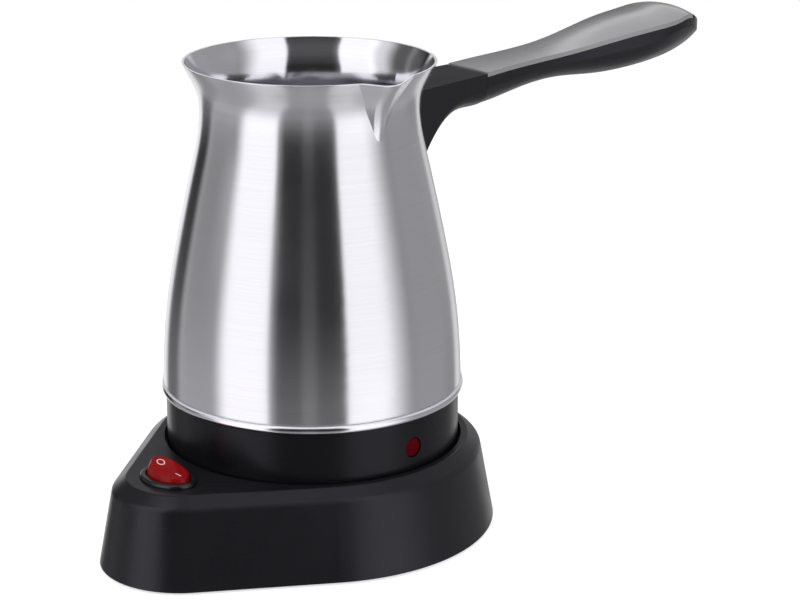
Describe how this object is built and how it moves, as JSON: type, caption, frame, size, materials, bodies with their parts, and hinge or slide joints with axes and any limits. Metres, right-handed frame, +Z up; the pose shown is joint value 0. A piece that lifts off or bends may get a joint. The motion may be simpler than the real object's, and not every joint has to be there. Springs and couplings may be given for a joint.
{
  "type": "electric turkish coffee maker",
  "caption": "Electric Turkish coffee pot: waisted steel pot with a pouring spout and a long side handle, on a teardrop power base with a rocker switch.",
  "frame": {"origin": "on the pot's axis, level with the underside of the base", "axes": "+Z up along the pot's axis, -X towards the switch at the base's tip; the base is symmetric about the XZ plane; the handle points along +X turned 6.5 degrees towards -Y at rest"},
  "size_m": [0.251, 0.119, 0.1534],
  "materials": {
    "pot_steel": "satin, brushed round the axis",
    "bright_steel": "polished",
    "screw_steel": "plain",
    "contact_brass": "plain",
    "spreader_aluminium": "cast",
    "black_plastic": "satin",
    "black_gloss": "glossy",
    "grey_gloss": "glossy",
    "red_plastic": "glossy, translucent",
    "red_lens": "glossy, translucent",
    "lamp_glass": "clear",
    "black_rubber": "matte",
    "seal_silicone": "matte",
    "wire_sleeve": "matte"
  },
  "bodies": {
    "base": {"base_shell": "black_plastic", "base_plate": "black_plastic", "base_screws": "screw_steel", "cord_grommet": "black_rubber", "base_socket": "black_plastic", "socket_live_contact": "contact_brass", "socket_neutral_contact": "contact_brass", "socket_earth_contact": "contact_brass", "socket_screws": "screw_steel", "base_live_wire": "wire_sleeve", "switch_housing": "black_gloss", "switch_common_terminal": "contact_brass", "switch_live_terminal": "contact_brass", "foot_tip_left": "black_rubber", "foot_tip_right": "black_rubber", "foot_rear_left": "black_rubber", "foot_rear_right": "black_rubber"},
    "rocker": {"rocker": "red_plastic", "rocker_plunger": "black_gloss", "rocker_spring": "screw_steel"},
    "switch_lever": {"switch_lever": "contact_brass"},
    "connector_core": {"connector_pin": "contact_brass"},
    "pot": {"pot_body": "pot_steel", "pot_floor": "pot_steel", "bead_ring": "bright_steel", "seal_ring": "seal_silicone", "heat_spreader": "spreader_aluminium", "heating_element": "screw_steel", "floor_studs": "screw_steel", "collar": "black_plastic", "collar_screws": "screw_steel", "bottom_cover": "black_plastic", "cover_screws": "screw_steel", "pot_connector": "black_gloss", "connector_screws": "screw_steel", "neutral_ring": "contact_brass", "earth_ring": "contact_brass", "thermostat": "screw_steel", "indicator_lens": "red_lens", "indicator_lamp": "lamp_glass", "element_wire": "wire_sleeve", "thermostat_wire": "wire_sleeve", "pin_wire": "wire_sleeve", "lamp_wire_live": "wire_sleeve", "lamp_wire_neutral": "wire_sleeve", "handle_bracket": "screw_steel", "handle_screw": "screw_steel", "handle_neck": "black_plastic", "handle_grip": "black_plastic", "handle_cover": "grey_gloss", "grip_screws": "screw_steel"}
  },
  "joints": [
    {"name": "pot_lift", "type": "slide", "parent": "base", "child": "connector_core", "axis": [0, 0, 1], "range_m": [0, 0.06]},
    {"name": "pot_turn", "type": "hinge", "parent": "connector_core", "child": "pot", "pos_m": [0, 0, 0.048], "axis": [0, 0, 1], "continuous": true},
    {"name": "rocker_press", "type": "hinge", "parent": "base", "child": "rocker", "pos_m": [-0.0618, 0, 0.029], "axis": [-1, 0, 0], "range_deg": [0, 26]},
    {"name": "lever_rock", "type": "hinge", "parent": "base", "child": "switch_lever", "pos_m": [-0.0618, 0, 0.0199], "axis": [-1, 0, 0], "range_deg": [-16, 0]}
  ],
  "couplings": [
    {"joint": "lever_rock", "follows": "rocker_press", "ratio": -0.6153}
  ]
}
